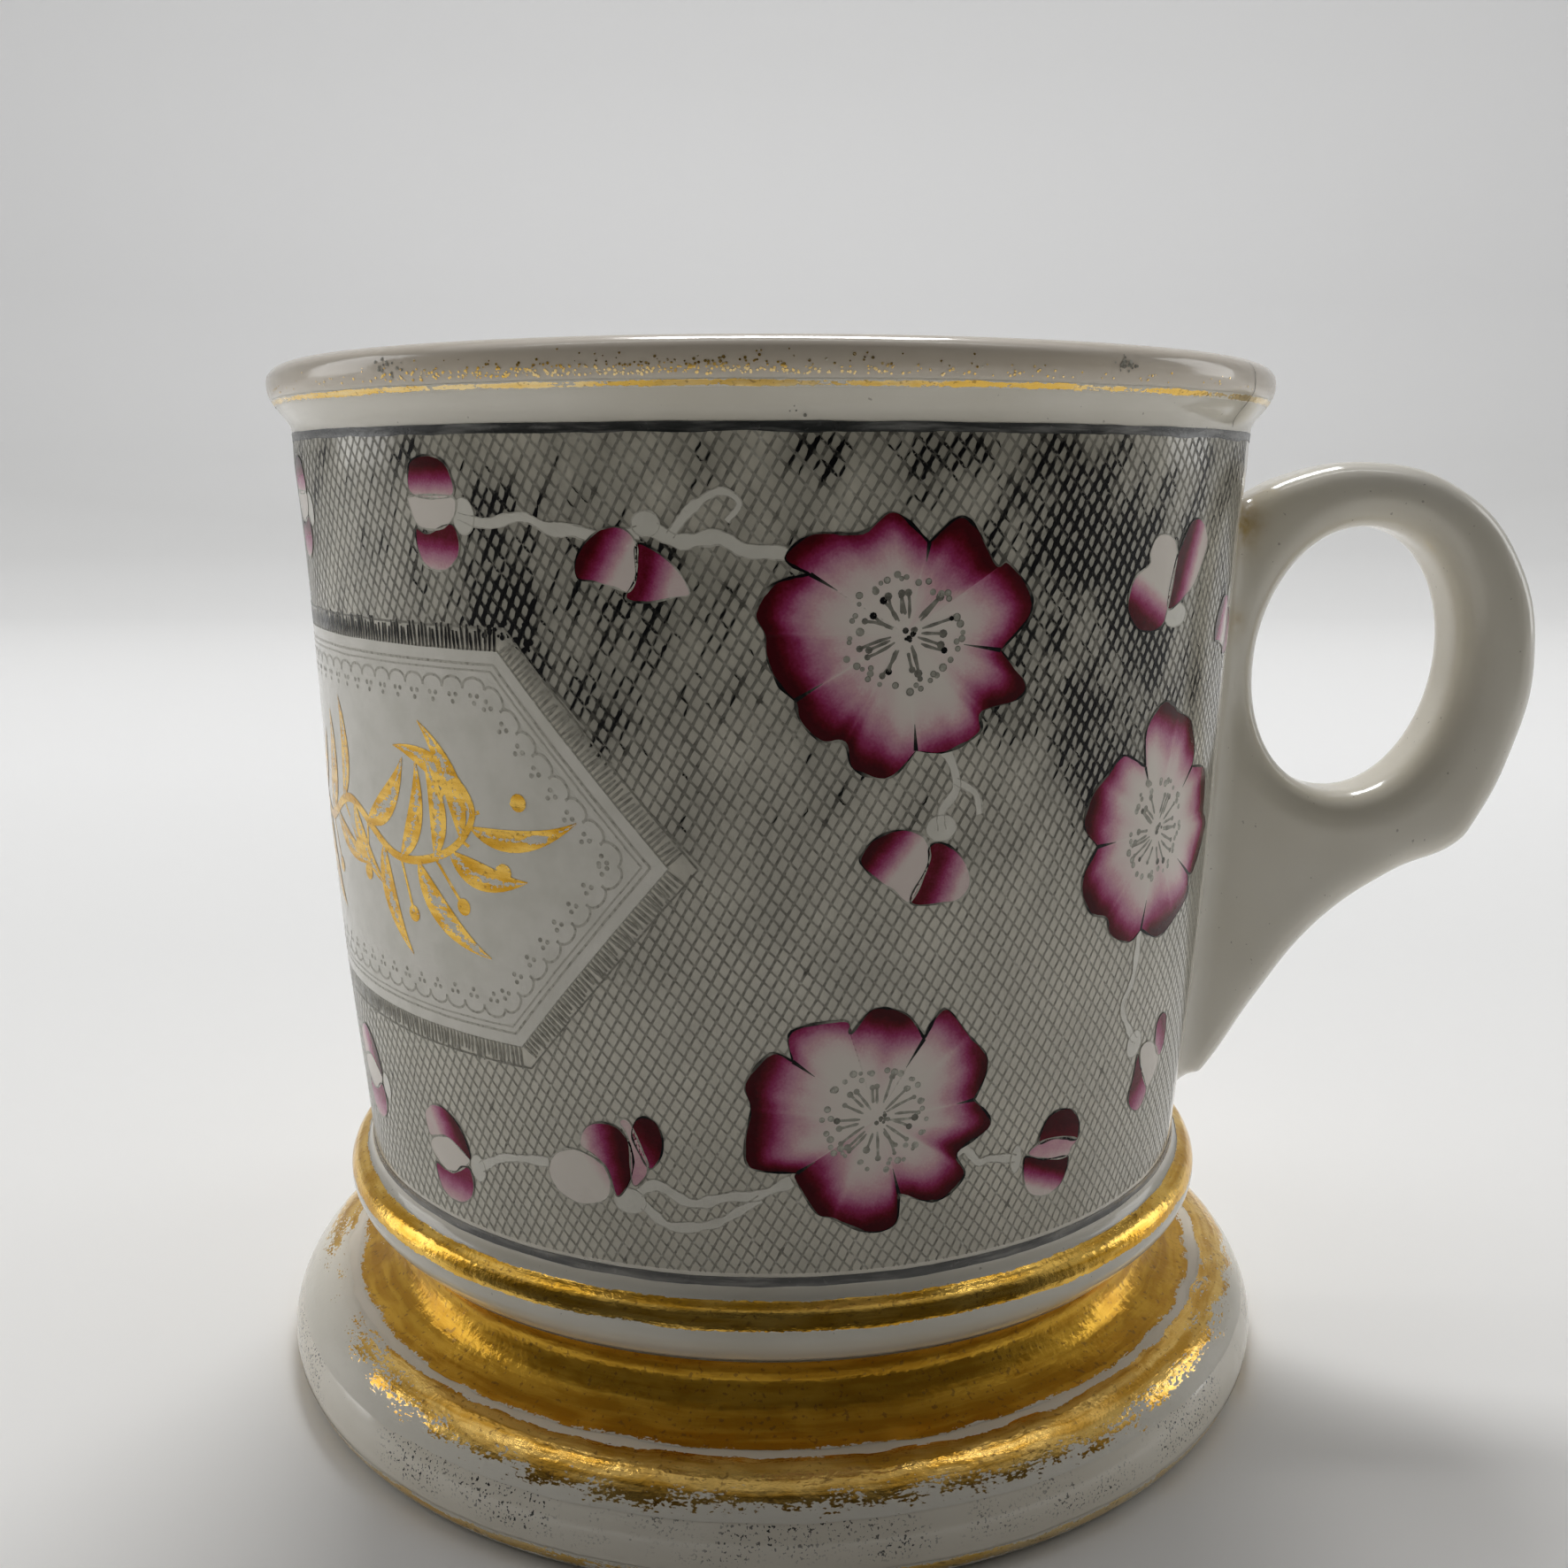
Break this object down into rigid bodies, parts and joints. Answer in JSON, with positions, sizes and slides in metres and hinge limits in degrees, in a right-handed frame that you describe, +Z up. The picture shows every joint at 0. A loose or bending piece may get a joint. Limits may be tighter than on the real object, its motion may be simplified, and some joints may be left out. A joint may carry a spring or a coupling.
{
  "type": "shaving mug",
  "caption": "Porcelain shaving mug with a rolled lip, a luted ring handle and hollow pedestal foot, gilt bands, a printed floral ground and a plain reserved panel.",
  "frame": {"origin": "centre of the overall footprint on the resting plane", "axes": "+Z up, +X from the cup towards the handle, the mug's own axis upright at x = -0.01255 m"},
  "size_m": [0.1201, 0.095, 0.0919],
  "materials": {
    "cup_porcelain": "clear glaze",
    "foot_porcelain": "clear glaze, resting ring unglazed",
    "handle_porcelain": "clear glaze",
    "fired_slip": "fired clay slip",
    "gilding": "burnished fired gold, worn",
    "dark_enamel": "painted and fired line",
    "transfer_print": "cross-hatched transfer print under hand-painted flowers",
    "reserved_panel": "reserved white panel"
  },
  "bodies": {
    "root": {"cup": "cup_porcelain", "foot": "foot_porcelain", "handle": "handle_porcelain", "foot_slip": "fired_slip", "handle_slip": "fired_slip", "rim_gilt_line": "gilding", "ring_gilt_band": "gilding", "scotia_gilt_band": "gilding", "foot_gilt_band": "gilding", "foot_edge_gilt_line": "gilding", "upper_border_line": "dark_enamel", "lower_border_line": "dark_enamel", "printed_ground": "transfer_print", "name_panel": "reserved_panel"}
  },
  "joints": []
}
